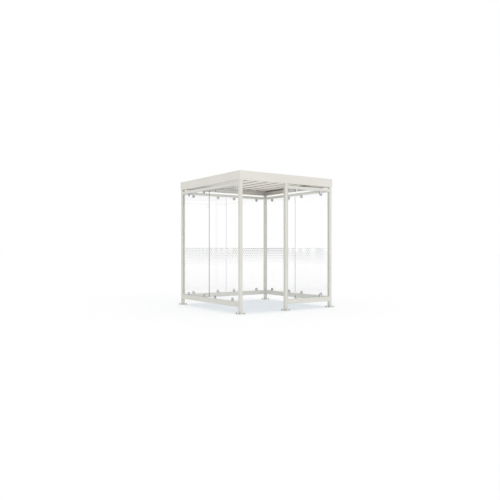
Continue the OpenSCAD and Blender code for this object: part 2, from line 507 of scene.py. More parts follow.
@dataclass(frozen=True)
class MattFinish(Finish):
    """Rubber, foam or ground glass edge: a mottled matt surface."""

    colour: Triple
    roughness: float
    mottle_scale: float
    mottle: float = 0.12
    pit_depth: float = 0.05 * MM
    pit_strength: float = 0.2
    sheen: float = 0.08

    def paint(self, sketch: ShaderSketch) -> None:
        """Drive the surface's spots and pits.

        Args:
            sketch: The material under way.
        """
        spots = sketch.noise(self.mottle_scale)
        sketch.drive(
            Base_Color=sketch.mottle(spots, self.colour, (1.0 - self.mottle, 1.0 + self.mottle)),
            Roughness=sketch.spread(spots, self.roughness - self.sheen, self.roughness + self.sheen),
            Normal=sketch.bump(spots, self.pit_depth, self.pit_strength),
        )


@dataclass(frozen=True)
class PrintFinish(Finish):
    """Fired dots on glass, pale towards the outside of the plan and grey towards the inside, the grey painted
    shade.
    """

    outside: Triple
    # Grey of the faces that look inwards: painted shade of the roofed inside
    inward_painted_shade: Triple
    gloss: Pair = (0.47, 0.63)
    mottle: Pair = (0.97, 1.03)
    mottle_scale: float = 900.0
    lean: float = 0.05

    def paint(self, sketch: ShaderSketch) -> None:
        """Drive the print's pale tone and the grey of its painted shade.

        Args:
            sketch: The material under way.
        """
        spots = sketch.noise(self.mottle_scale)
        sides = (sketch.mottle(spots, colour, self.mottle) for colour in (self.inward_painted_shade, self.outside))
        sketch.drive(
            Base_Color=sketch.blend(sketch.outward(-self.lean, self.lean), *sides),
            Roughness=sketch.spread(spots, *self.gloss),
        )


class Finishes:
    """Every material of the shelter, made once."""

    def __init__(self) -> None:
        """Build the materials."""
        self.coat = CoatFinish("frame_coat", linear(223, 222, 214)).build()
        # The fascia's coat is a little paler than the frame's, painted light for the brighter roof edge, and
        # its inner faces are paler still, painted light on the shaded inside
        self.fascia = CoatFinish("fascia_coat", linear(227, 225, 217), painted_light_inside=linear(245, 242, 236)).build()
        # The sheet's underside is painted paler as light from below, and darker in its rib hollows as painted
        # shade
        self.sheet = CoatFinish(
            "roof_sheet_coat", linear(226, 226, 221), gloss=(0.30, 0.40), grain=(1.0, 0.3, 1.0),
            peel_scale=260.0, peel_depth=0.15 * MM,
            painted_light_underside=linear(245, 239, 229), hollow_z=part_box("front_roof_bearer")[1].z,
        ).build()
        self.glass = GlassFinish(
            "clear_glass", (0.993, 0.996, 0.995), dusty=(0.964, 0.966, 0.967), dust_range=(0.25, 0.75)
        ).build()
        # Tones of the ground edges, set by how dark each wall's joint looks in the photo
        # Each wall's arrises get their own tone of one ground finish: painted shade for the light that
        # reaches them
        painted_edge_shades = {
            Wall.FRONT: linear(136, 146, 142), Wall.RIGHT: linear(136, 146, 142),
            Wall.BACK: linear(172, 178, 168), Wall.LEFT: linear(58, 63, 61),
        }
        self.glass_edges = {
            wall: MattFinish(wall.node("glass_edge"), tone, 0.30, mottle_scale=60.0, mottle=0.06).build()
            for wall, tone in painted_edge_shades.items()
        }
        # Pale dots, grey where they look inwards as painted shade
        self.dots = PrintFinish("dot_print", linear(253, 253, 254), inward_painted_shade=linear(175, 175, 179)).build()
        self.clamp = MetalFinish("clamp_metal", (0.56, 0.56, 0.565), (0.30, 0.44), (0.05, 0.05, 1.0)).build()
        self.rubber = MattFinish("gasket_rubber", (0.022, 0.022, 0.022), 0.78, mottle_scale=700.0).build()
        # Dark foam of the rib closures and side seals; along the side fascias it also paints the shade of the
        # recess
        self.foam = MattFinish(
            "seal_foam", (0.26, 0.26, 0.25), 0.90, mottle_scale=500.0, mottle=0.25, pit_depth=0.4 * MM
        ).build()
        self.zinc = MetalFinish("zinc_plate", (0.42, 0.42, 0.42), (0.32, 0.50), grain_scale=160.0).build()


def stand(name: str, data: bpy.types.ID) -> bpy.types.Object:
    """Put a data block into the scene.

    Args:
        name: The new object's name.
        data: Its mesh, lamp or camera.

    Returns:
        The object.
    """
    made = bpy.data.objects.new(name, data)
    bpy.context.scene.collection.objects.link(made)
    return made


def settle(
    name: str, draft: Mesh, weight: int, tree: Optional[NodeTree] = None,
    settings: Optional[dict[str, Any]] = None,
) -> Mesh:
    """Run a draft through its tree and level its shading, into a plain mesh.

    Args:
        name: Name of the new mesh.
        draft: The mesh to start from, which is removed.
        weight: How far large faces rule the shading.
        tree: Geometry tree to run first, if any.
        settings: Values of the tree's inputs, by name.

    Returns:
        The plain mesh.
    """
    holder = stand(draft.name, draft)
    if tree is not None:
        steps = holder.modifiers.new("tree", "NODES")
        steps.node_group = tree
        for item in tree.interface.items_tree:
            if item.in_out == "INPUT" and item.name in settings:
                steps[item.identifier] = settings[item.name]
    level = holder.modifiers.new("flat_faces", "WEIGHTED_NORMAL")
    level.keep_sharp = True
    level.weight = weight
    graph = bpy.context.evaluated_depsgraph_get()
    made = bpy.data.meshes.new_from_object(
        holder.evaluated_get(graph), preserve_all_data_layers=True, depsgraph=graph
    )
    made.name = name
    bpy.data.objects.remove(holder)
    bpy.data.meshes.remove(draft)
    return made


def close_off(name: str, shape: BMesh, smooth_below: float = SMOOTH_BELOW) -> Mesh:
    """Turn a shape into a mesh, smooth except across sharp folds.

    Args:
        name: The mesh's name.
        shape: The shape, which is freed.
        smooth_below: Folds flatter than this are shaded smooth.

    Returns:
        The mesh, with normals that keep its flat faces flat.
    """
    bmesh.ops.recalc_face_normals(shape, faces=shape.faces)
    for face in shape.faces:
        face.smooth = True
    for edge in shape.edges:
        edge.smooth = len(edge.link_faces) == 2 and edge.calc_face_angle(0.0) < smooth_below
    draft = bpy.data.meshes.new(name + "_draft")
    shape.to_mesh(draft)
    shape.free()
    return settle(name, draft, LARGE_FACES_RULE)


def merged_copy(node: str) -> BMesh:
    """Copy a CAD node's mesh with its loose triangles merged into whole faces.

    Args:
        node: The CAD node.

    Returns:
        The copy.
    """
    shape = bmesh.new()
    shape.from_mesh(frame["nodes"][node].data)
    bmesh.ops.remove_doubles(shape, verts=shape.verts, dist=SAME_POINT)
    bmesh.ops.dissolve_limit(
        shape, angle_limit=SAME_PLANE, verts=shape.verts, edges=shape.edges, delimit=set()
    )
    return shape


def soften(shape: BMesh, edges: Sequence[BMEdge], radius: float, steps: int = 2) -> None:
    """Round some edges of a shape."""
    bmesh.ops.bevel(shape, geom=edges, offset=radius, segments=steps, profile=0.5, affect="EDGES")


def edges_at(shape: BMesh, axis: int, level: float) -> list[BMEdge]:
    """Edges of a shape that lie in a plane across an axis."""
    return [e for e in shape.edges if all(abs(vert.co[axis] - level) < SAME_LEVEL for vert in e.verts)]


def ladder(shape: BMesh, first: Sequence[BMVert], second: Sequence[BMVert], closed: bool = True) -> None:
    """Join two rows of vertices with faces.

    Args:
        shape: The mesh under way.
        first: One row.
        second: The other row, as long as the first.
        closed: Whether the rows are loops.
    """
    count = len(first)
    for i in range(count if closed else count - 1):
        j = (i + 1) % count
        shape.faces.new((first[i], first[j], second[j], second[i]))


def ring(shape: BMesh, radius: float, height: float, sides: int) -> list[BMVert]:
    """Add a ring of vertices round the Z axis.

    Args:
        shape: The mesh under way.
        radius: Its radius.
        height: Its height.
        sides: How many vertices it has.

    Returns:
        The vertices.
    """
    angles = (2 * math.pi * i / sides for i in range(sides))
    return [shape.verts.new((radius * math.cos(a), radius * math.sin(a), height)) for a in angles]


def lathe(shape: BMesh, profile: Sequence[Pair], sides: int) -> None:
    """Turn a profile round the Z axis.

    Args:
        shape: The mesh under way.
        profile: Radius and height of its points, with radius 0 for a closed end.
        sides: Straight sides of each ring.
    """
    rows = [ring(shape, radius, height, sides) for radius, height in profile if radius > 0]
    for first, second in zip(rows, rows[1:]):
        ladder(shape, first, second)
    for end in (0, -1):
        if profile[end][0] == 0:
            shape.faces.new(rows[end])


def arc(centre: Pair, radius: float, start: float, end: float, steps: int) -> list[Pair]:
    """Points on an arc.

    Args:
        centre: Its centre.
        radius: Its radius.
        start: First angle, in degrees.
        end: Last angle, in degrees.
        steps: Straight lines that it is made of.

    Returns:
        The points, both ends included.
    """
    angles = (math.radians(start + (end - start) * i / steps) for i in range(steps + 1))
    return [(centre[0] + radius * math.cos(a), centre[1] + radius * math.sin(a)) for a in angles]


def soft_rectangle(width: float, height: float, radius: float, steps: int) -> list[Pair]:
    """Outline of a centred rectangle with round corners, anticlockwise.

    Args:
        width: Size along the first axis.
        height: Size along the second axis.
        radius: Corner radius.
        steps: Straight lines in each corner.

    Returns:
        The points.
    """
    x, y = width / 2 - radius, height / 2 - radius
    corners = ((x, y), (-x, y), (-x, -y), (x, -y))
    arcs = (arc(corner, radius, 90 * i, 90 * i + 90, steps) for i, corner in enumerate(corners))
    return [point for bend in arcs for point in bend]


class Sites:
    """Places and turns of a shape that repeats."""

    def __init__(self) -> None:
        """Start without any site."""
        self.places: list[Vector] = []
        self.turns: list[float] = []

    def add(self, place: Matrix) -> None:
        """Add a site from its matrix."""
        self.places.append(place.to_translation())
        self.turns.extend(place.to_euler())

    def grow(self, name: str, tree: NodeTree, settings: dict[str, Any]) -> Mesh:
        """Run a tree over the sites.

        Args:
            name: Name of the new mesh.
            tree: The geometry tree.
            settings: Values of its inputs, by name.

        Returns:
            The plain mesh.
        """
        points = bpy.data.meshes.new(name + "_sites")
        points.from_pydata(self.places, [], [])
        points.attributes.new("turn", "FLOAT_VECTOR", "POINT").data.foreach_set("vector", self.turns)
        return settle(name, points, FACES_EVEN, tree, settings)

    def scatter(self, name: str, pattern: Mesh, material: Material) -> Mesh:
        """Put a copy of a pattern at every site.

        Args:
            name: Name of the new mesh.
            pattern: The shape to repeat.
            material: What it is made of.

        Returns:
            The plain mesh.
        """
        sketch = TreeSketch("scatter_" + name)
        chosen = sketch.setting("Pattern", "NodeSocketObject")
        tree = sketch.close(sketch.out("GeometryNodeObjectInfo", {"Object": chosen}, "Geometry"))
        model = stand(pattern.name, pattern)
        made = self.grow(name, tree, {"Pattern": model, "Material": material})
        bpy.data.objects.remove(model)
        return made


@dataclass(frozen=True)
class Plan:
    """Where the walls stand, read from the corner posts."""

    bay_w: float
    bay_d: float
    post: float

    @classmethod
    def from_frame(cls) -> "Plan":
        """Measure the frame.

        Returns:
            The plan.
        """
        low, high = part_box("front_left_post")
        far_low, far_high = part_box("back_right_post")
        middle, far_middle = (low + high) / 2, (far_low + far_high) / 2
        return cls(far_middle.x - middle.x, far_middle.y - middle.y, high.x - low.x)

    def to_row(self, wall: Wall) -> Matrix:
        """Matrix from a wall's own frame to the row frame.

        Args:
            wall: The wall, whose X runs along it and whose Y points inwards.

        Returns:
            The matrix.
        """
        offset = (self.bay_d if wall.value % 2 == 0 else self.bay_w) / 2
        return wall.turn @ Matrix.Translation((0.0, -offset, 0.0))

    def along(self, wall: Wall, node: str) -> tuple[Vector, Vector]:
        """Corners of a node in a wall's own frame.

        Args:
            wall: The wall.
            node: The CAD node.

        Returns:
            Its lowest and highest corners there.
        """
        back = self.to_row(wall).inverted()
        ends = [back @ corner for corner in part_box(node)]
        return Vector(map(min, *ends)), Vector(map(max, *ends))


@dataclass
class SubAssembly:
    """What every sub-assembly shares: the plan, the materials and how a mesh becomes a piece."""

    plan: Plan
    finishes: Finishes

    def piece(
        self, mesh: Mesh, slot: Slot, materials: Sequence[Material], node: Optional[str] = None
    ) -> None:
        """Put a mesh into the scene as a piece of the same name.

        Args:
            mesh: The mesh, in the row frame.
            slot: The record's material slot; not used.
            materials: Its materials, in the order of its faces' indices.
            node: CAD node that it replaces, if any.
        """
        made = stand(mesh.name, mesh)
        for material in materials[len(mesh.materials):]:
            mesh.materials.append(material)
        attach(made, BODY)
        if node is not None:
            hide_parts(node)
        LOG.info("%s: %d faces", mesh.name, len(mesh.polygons))

    def dress(self) -> None:
        """Make the sub-assembly's pieces."""
        raise NotImplementedError


@dataclass
class TubeFrame(SubAssembly):
    """Posts and rails of welded square tube."""

    wall: float = 3 * MM
    bend: float = 2 * MM
    corner_steps: int = 6

    def tube(self, node: str) -> Mesh:
        """Redraw one tube with round corners.

        Args:
            node: The CAD node.

        Returns:
            The mesh.
        """
        low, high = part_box(node)
        size, middle = high - low, (low + high) / 2
        run = max(range(3), key=lambda axis: size[axis])
        across, up = (run + 1) % 3, (run + 2) % 3
        shape = bmesh.new()
        rows = []
        for inset, radius in ((0.0, self.bend + self.wall), (self.wall, self.bend)):
            width, height = size[across] - 2 * inset, size[up] - 2 * inset
            outline = soft_rectangle(width, height, radius, self.corner_steps)
            for end in (low[run], high[run]):
                row = []
                for a, b in outline:
                    place = Vector()
                    place[across], place[up], place[run] = middle[across] + a, middle[up] + b, end
                    row.append(shape.verts.new(place))
                rows.append(row)
        outer_start, outer_end, inner_start, inner_end = rows
        ladder(shape, outer_start, outer_end)
        ladder(shape, inner_end, inner_start)
        ladder(shape, inner_start, outer_start)
        ladder(shape, outer_end, inner_end)
        return close_off(node + "_tube", shape)

    def dress(self) -> None:
        """Make every tube a piece."""
        posts = [post + "_post" for post in POSTS]
        rails = [wall.node(rail.value) for wall in Wall for rail in Rail]
        for node in posts + rails:
            self.piece(self.tube(node), Slot.FRAME, [self.finishes.coat], node)


@dataclass
class Fascia(SubAssembly):
    """Folded channels round the roof, mitred at the corners."""

    plate: float = 3 * MM
    bend: float = 3 * MM
    bend_steps: int = 6

    def section(self, depth: float, height: float) -> Iterator[list[Pair]]:
        """Outer and inner lines of the channel, from the lower lip round to the upper one.

        Args:
            depth: Width of the flanges.
            height: Height of the web.

        Yields:
            The two lines, with as many points each.
        """
        radius = self.bend + self.plate
        for inset, r in ((0.0, radius), (self.plate, self.bend)):
            low = arc((radius, radius), r, 270, 180, self.bend_steps)
            top = arc((radius, height - radius), r, 180, 90, self.bend_steps)
            yield [(depth, inset), *low, *top, (depth, height - inset)]

    def channel(self, wall: Wall, node: str) -> Mesh:
        """Redraw one side's channel.

        Args:
            wall: The side.
            node: Its CAD node.

        Returns:
            The mesh.
        """
        low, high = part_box(node)
        size = high - low
        run, depth = max(size.x, size.y), min(size.x, size.y)
        side = 1 - wall.value % 2
        reach = max(abs(low[side]), abs(high[side]))
        shape = bmesh.new()

        def row(line: Sequence[Pair], end: int) -> list[BMVert]:
            """Vertices of a line at one mitred end."""
            places = (Vector((end * (run / 2 - d), d - reach, low.z + z)) for d, z in line)
            return [shape.verts.new(wall.turn @ place) for place in places]

        outer, inner = ([row(line, end) for end in (-1, 1)] for line in self.section(depth, size.z))
        ladder(shape, outer[0], outer[1], closed=False)
        ladder(shape, inner[1], inner[0], closed=False)
        for out_row, in_row in zip(outer, inner):
            ladder(shape, out_row, in_row, closed=False)
        for lip in (0, -1):
            shape.faces.new([line[lip] for line in (*outer, *reversed(inner))])
        return close_off(node + "_fold", shape)

    def dress(self) -> None:
        """Make every channel a piece."""
        for wall in Wall:
            node = wall.node("fascia")
            self.piece(self.channel(wall, node), Slot.FRAME, [self.finishes.fascia], node)


@dataclass
class BasePlates(SubAssembly):
    """Plates under the posts, with their weld beads and anchor bolts."""

    rim: float = 0.8 * MM
    # Edges folded by more radians than this are rims
    rim_fold: float = 1.0
    bead: float = 4.5 * MM
    bead_sides: int = 8
    bead_corner_steps: int = 5
    ripple: float = 0.10
    ripple_step: float = 2.2 * MM
    ripple_turn: float = 2.1
    washer_r: float = 13 * MM
    washer_t: float = 2.5 * MM
    nut_r: float = 10.5 * MM
    nut_h: float = 10 * MM
    nut_slope: float = 1.6
    stud_r: float = 6 * MM
    stud_h: float = 17 * MM
    chamfer: float = 1.2 * MM
    washer_sides: int = 16
    stud_sides: int = 12
    spin_step: float = 0.7

    def plate(self, node: str) -> Mesh:
        """Copy a plate and soften its upper rims.

        Args:
            node: The CAD node.

        Returns:
            The mesh.
        """
        shape = merged_copy(node)
        top = edges_at(shape, 2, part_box(node)[1].z)
        soften(shape, [edge for edge in top if edge.calc_face_angle(0.0) > self.rim_fold], self.rim)
        return close_off(node + "_plate", shape)

    def bead_tree(self) -> NodeTree:
        """Tree that lays a rippled bead round the foot of every post.

        Returns:
            The tree, with inputs for the tube and the bead.
        """
        sketch = TreeSketch("weld_bead")
        names = ("Tube", "Corner", "Radius", "Ripple", "Ripple Turn", "Step")
        tube, corner, radius, ripple, turn, step = (sketch.setting(name) for name in names)
        square = sketch.out("GeometryNodeCurvePrimitiveQuadrilateral", {"Width": tube, "Height": tube})
        bends = {0: square, "Radius": corner, "Count": self.bead_corner_steps}
        loop = sketch.out("GeometryNodeFilletCurve", bends, mode="POLY")
        fine = sketch.out("GeometryNodeResampleCurve", {0: loop, "Length": step}, mode="LENGTH")
        phase = sketch.math("MULTIPLY", sketch.out("GeometryNodeInputIndex"), turn)
        swell = sketch.math("ADD", sketch.math("MULTIPLY", sketch.math("SINE", phase), ripple), 1.0)
        sized = sketch.out("GeometryNodeSetCurveRadius", {0: fine, "Radius": swell})
        circle = {"Resolution": self.bead_sides, "Radius": radius}
        profile = sketch.out("GeometryNodeCurvePrimitiveCircle", circle)
        return sketch.close(sketch.out("GeometryNodeCurveToMesh", {"Curve": sized, "Profile Curve": profile}))

    def bolt(self) -> Mesh:
        """Washer, nut and stud of one anchor, standing on Z = 0.

        Returns:
            The mesh.
        """
        shape = bmesh.new()
        seat, top, tip = self.washer_t, self.washer_t + self.nut_h, self.stud_h + self.chamfer
        washer = ((0.0, 0.0), (self.washer_r, 0.0), (self.washer_r, seat), (0.0, seat))
        shoulder = (self.nut_r - self.nut_slope * self.chamfer, top)
        nut = ((self.nut_r, seat), (self.nut_r, top - self.chamfer), shoulder, (self.stud_r, top))
        point = (self.stud_r - self.chamfer, tip)
        stud = ((self.stud_r, seat), (self.stud_r, self.stud_h), point, (0.0, tip))
        for profile, sides in ((washer, self.washer_sides), (nut, HEX), (stud, self.stud_sides)):
            lathe(shape, profile, sides)
        return close_off("anchor_bolt", shape)

    def anchors(self) -> Sites:
        """Where the anchors stand, read from the record's bolt patterns.

        Returns:
            The sites, each nut turned its own way.
        """
        sites = Sites()
        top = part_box(POSTS[0] + "_base")[1].z
        patterns = (mount for mount in frame["record"]["mounts"] if mount["kind"] == "bolt_pattern")
        for mount in patterns:
            x, y, _ = mount["pos_m"]
            half_x, half_y = (mount["dims"][f"spacing_{axis}_mm"] * MM / 2 for axis in "xy")
            for i in (-1, 1):
                for j in (-1, 1):
                    spin = Matrix.Rotation(self.spin_step * len(sites.places), 4, "Z")
                    sites.add(Matrix.Translation((x + i * half_x, y + j * half_y, top)) @ spin)
        return sites

    def dress(self) -> None:
        """Make plates, beads and bolts pieces."""
        coat, zinc = self.finishes.coat, self.finishes.zinc
        feet = Sites()
        for post in POSTS:
            node = post + "_base"
            self.piece(self.plate(node), Slot.FRAME, [coat], node)
            low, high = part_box(post + "_post")
            feet.add(Matrix.Translation(((low.x + high.x) / 2, (low.y + high.y) / 2, low.z)))
        beads = feet.grow("weld_beads", self.bead_tree(), {
            "Tube": self.plan.post, "Corner": TubeFrame.bend + TubeFrame.wall, "Radius": self.bead,
            "Ripple": self.ripple, "Ripple Turn": self.ripple_turn, "Step": self.ripple_step,
            "Material": coat,
        })
        self.piece(beads, Slot.FRAME, [coat])
        self.piece(self.anchors().scatter("anchor_bolts", self.bolt(), zinc), Slot.CLAMP, [zinc])


@dataclass
class GlassWalls(SubAssembly):
    """Toughened panels with ground arrises and their band of dots."""

    arris: float = 1 * MM
    smooth_below: float = math.radians(5)
    flat_lean: float = 0.99
    film: float = 0.2 * MM
    dot_pitch: float = 50 * MM
    row_step: float = 36 * MM
    rows: int = 9
    columns: int = 19
    band_top: float = 1.104
    dot_top: float = 13.5 * MM
    dot_low: float = 5 * MM
    sides: int = 18
    printed_inside: tuple[Wall, ...] = (Wall.RIGHT, Wall.BACK)

    def pane(self, node: str) -> Mesh:
        """Redraw a panel with its arris, the edge faces as a second material.

        Args:
            node: The CAD node.

        Returns:
            The mesh.
        """
        low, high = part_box(node)
        size = high - low
        shape = bmesh.new()
        block = Matrix.Translation((low + high) / 2) @ Matrix.Diagonal((*size, 1.0))
        bmesh.ops.create_cube(shape, size=1.0, matrix=block)
        soften(shape, list(shape.edges), self.arris, 1)
        thin = min(range(3), key=lambda axis: size[axis])
        for face in shape.faces:
            face.normal_update()
            face.material_index = 0 if abs(face.normal[thin]) > self.flat_lean else 1
        return close_off(node + "_pane", shape, self.smooth_below)

    def band_tree(self) -> NodeTree:
        """Tree that prints a staggered band of shrinking dots on every panel.

        Returns:
            The tree, with inputs for the pitch and the dots.
        """
        sketch = TreeSketch("dot_band")
        counts = ("Columns", "Rows", "Sides")
        columns, rows, sides = (sketch.setting(name, "NodeSocketInt") for name in counts)
        names = ("Pitch", "Row Step", "Low Radius", "Top Radius", "Film")
        pitch, step, low, high, film = (sketch.setting(name) for name in names)
        last_row, last_column = (sketch.math("SUBTRACT", count, 1.0) for count in (rows, columns))
        grid = sketch.out("GeometryNodeMeshGrid", {
            "Size X": sketch.math("MULTIPLY", pitch, last_column), "Vertices X": columns,
            "Size Y": sketch.math("MULTIPLY", step, last_row), "Vertices Y": rows,
        }, "Mesh")
        index = sketch.out("GeometryNodeInputIndex")
        row = sketch.math("FLOORED_MODULO", index, rows)
        column = sketch.math("FLOOR", sketch.math("DIVIDE", sketch.math("ADD", index, 0.5), rows))
        # Every other row is shifted by half a pitch and has a dot less
        odd = sketch.math("FLOORED_MODULO", row, 2.0)
        at_end = sketch.math("GREATER_THAN", column, sketch.math("SUBTRACT", last_column, 0.5))
        spare = sketch.math("MULTIPLY", odd, at_end)
        kept = sketch.out("FunctionNodeBooleanMath", {0: spare}, operation="NOT")
        half_pitch = sketch.math("MULTIPLY", pitch, 0.5)
        shift = sketch.out("ShaderNodeCombineXYZ", {"X": sketch.math("MULTIPLY", odd, half_pitch)})
        staggered = sketch.out("GeometryNodeSetPosition", {0: grid, "Offset": shift})
        gain = sketch.math("SUBTRACT", high, low)
        growth = sketch.math("MULTIPLY", gain, sketch.math("DIVIDE", row, last_row))
        size = sketch.math("ADD", low, growth)
        scale = sketch.out("ShaderNodeCombineXYZ", {"X": size, "Y": size, "Z": 1.0})
        disc = {"Vertices": sides, "Radius": 1.0, "Depth": film}
        dots = sketch.out("GeometryNodeInstanceOnPoints", {
            "Points": staggered, "Instance": sketch.out("GeometryNodeMeshCylinder", disc, "Mesh"),
            "Scale": scale, "Selection": kept,
        })
        upright = {0: dots, "Rotation": (math.pi / 2, 0.0, 0.0)}
        return sketch.close(sketch.out("GeometryNodeTransform", upright))

    def spot(self, wall: Wall, node: str) -> Matrix:
        """Where a panel's band sits.

        Args:
            wall: The wall.
            node: The panel's CAD node.

        Returns:
            Matrix of the band's middle, on the printed face.
        """
        low, high = self.plan.along(wall, node)
        face = high.y + self.film / 2 if wall in self.printed_inside else low.y - self.film / 2
        middle = self.band_top - self.dot_top - (self.rows - 1) * self.row_step / 2
        return self.plan.to_row(wall) @ Matrix.Translation(((low.x + high.x) / 2, face, middle))

    def dress(self) -> None:
        """Make the panels and their dots pieces."""
        glass, dots = self.finishes.glass, self.finishes.dots
        for wall in Wall:
            for node in wall.panels:
                self.piece(self.pane(node), Slot.GLASS, [glass, self.finishes.glass_edges[wall]], node)
        tree = self.band_tree()
        for wall in Wall:
            sites = Sites()
            for node in wall.panels:
                sites.add(self.spot(wall, node))
            band = sites.grow(wall.node("dot_band"), tree, {
                "Columns": self.columns, "Rows": self.rows, "Sides": self.sides, "Pitch": self.dot_pitch,
                "Row Step": self.row_step, "Low Radius": self.dot_low, "Top Radius": self.dot_top,
                "Film": self.film, "Material": dots,
            })
            self.piece(band, Slot.GLASS, [dots])


@dataclass
class GlassClamps(SubAssembly):
    """Two-part clamps on the rails, with the screws of their covers."""

    width: float = 45 * MM
    reach: float = 55 * MM
    jaw: float = 10 * MM
    slot: float = 11 * MM
    foot: float = 16.5 * MM
    inset: float = 190 * MM
    rim: float = 1.5 * MM
    rim_steps: int = 3
    arc_steps: int = 20
    screw_r: float = 5 * MM
    screw_gap: float = 13 * MM
    # Shares of the screw's radius
    head_profile: tuple[Pair, ...] = ((1.0, 0.0), (0.9, 0.34), (0.62, 0.5))
    socket_r: float = 0.36
    socket_floor: float = 0.15

    def outline(self) -> list[Pair]:
        """Edge of a jaw from its lower left corner, with a corner where the foot ends.

        Returns:
            The points as X and Z, anticlockwise.
        """
        half = self.width / 2
        head = arc((0.0, self.reach - half), half, 0, 180, self.arc_steps)
        return [(-half, 0.0), (half, 0.0), (half, self.foot), *head, (-half, self.foot)]

    def shape(self, near: float, far: float, heel: Optional[float] = None) -> BMesh:
        """One half of a clamp.

        Args:
            near: Depth of its face on the gasket.
            far: Depth of its outer face.
            heel: Depth that its foot reaches to, if it has a foot.

        Returns:
            The shape, with a round rim on its outer face.
        """
        shape = bmesh.new()
        inner, outer = ([shape.verts.new((x, y, z)) for x, z in self.outline()] for y in (near, far))
        ladder(shape, inner, outer)
        shape.faces.new(outer)
        shape.faces.new(inner[2:])
        low = [inner[i] for i in (0, 1, 2, -1)]
        if heel is not None:
            tip = [shape.verts.new((vert.co.x, heel, vert.co.z)) for vert in low]
            ladder(shape, low, tip)
            low = tip
        shape.faces.new(low)
        bmesh.ops.recalc_face_normals(shape, faces=shape.faces)
        rim = [edge for edge in edges_at(shape, 1, far) if any(vert.co.z > 0 for vert in edge.verts)]
        soften(shape, rim, self.rim, self.rim_steps)
        return shape

    def screw(self) -> Mesh:
        """Button-head socket screw with its head towards Z.

        Returns:
            The mesh.
        """
        shape = bmesh.new()
        r, top = self.screw_r, self.head_profile[-1][1]
        sides = 3 * HEX
        rings = [ring(shape, share * r, rise * r, sides) for share, rise in self.head_profile]
        mouth, floor = (ring(shape, self.socket_r * r, rise * r, HEX) for rise in (top, self.socket_floor))
        for first, second in (*zip(rings, rings[1:]), (mouth, floor)):
            ladder(shape, first, second)
        for i in range(HEX):
            bow = [rings[-1][(3 * i + k) % sides] for k in range(4)]
            shape.faces.new([*bow, mouth[(i + 1) % HEX], mouth[i]])
        shape.faces.new(floor)
        return close_off("cover_screw", shape)

    def places(self, wall: Wall) -> Iterator[Matrix]:
        """Where a wall's clamps stand, Z pointing away from the rail.

        Args:
            wall: The wall.

        Yields:
            A matrix for each clamp.
        """
        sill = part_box(wall.node(Rail.BOTTOM.value))[1].z
        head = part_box(wall.node(Rail.TOP.value))[0].z
        to_row, over = self.plan.to_row(wall), Matrix.Rotation(math.pi, 4, "Y")
        for panel in wall.panels:
            low, high = self.plan.along(wall, panel)
            for along in (low.x + self.inset, high.x - self.inset):
                yield to_row @ Matrix.Translation((along, 0.0, sill))
                yield to_row @ Matrix.Translation((along, 0.0, head)) @ over

    def dress(self) -> None:
        """Make the clamps and their screws pieces."""
        metal, zinc = self.finishes.clamp, self.finishes.zinc
        near, far = self.slot / 2, self.slot / 2 + self.jaw
        halves = {
            "clamp_bodies": close_off("clamp_body", self.shape(-near, -far, near)),
            "clamp_covers": close_off("clamp_cover", self.shape(near, far)),
        }
        lying = Matrix.Rotation(-math.pi / 2, 4, "X")
        gaps = (-self.screw_gap, self.screw_gap)
        seats = [Matrix.Translation((gap, far, self.foot / 2)) @ lying for gap in gaps]
        screws = Sites()
        for wall in Wall:
            sites = Sites()
            for place in self.places(wall):
                sites.add(place)
                for seat in seats:
                    screws.add(place @ seat)
            for name, pattern in halves.items():
                node = wall.node(name)
                self.piece(sites.scatter(node + "_cast", pattern, metal), Slot.CLAMP, [metal], node)
        self.piece(screws.scatter("cover_screws", self.screw(), zinc), Slot.CLAMP, [zinc])


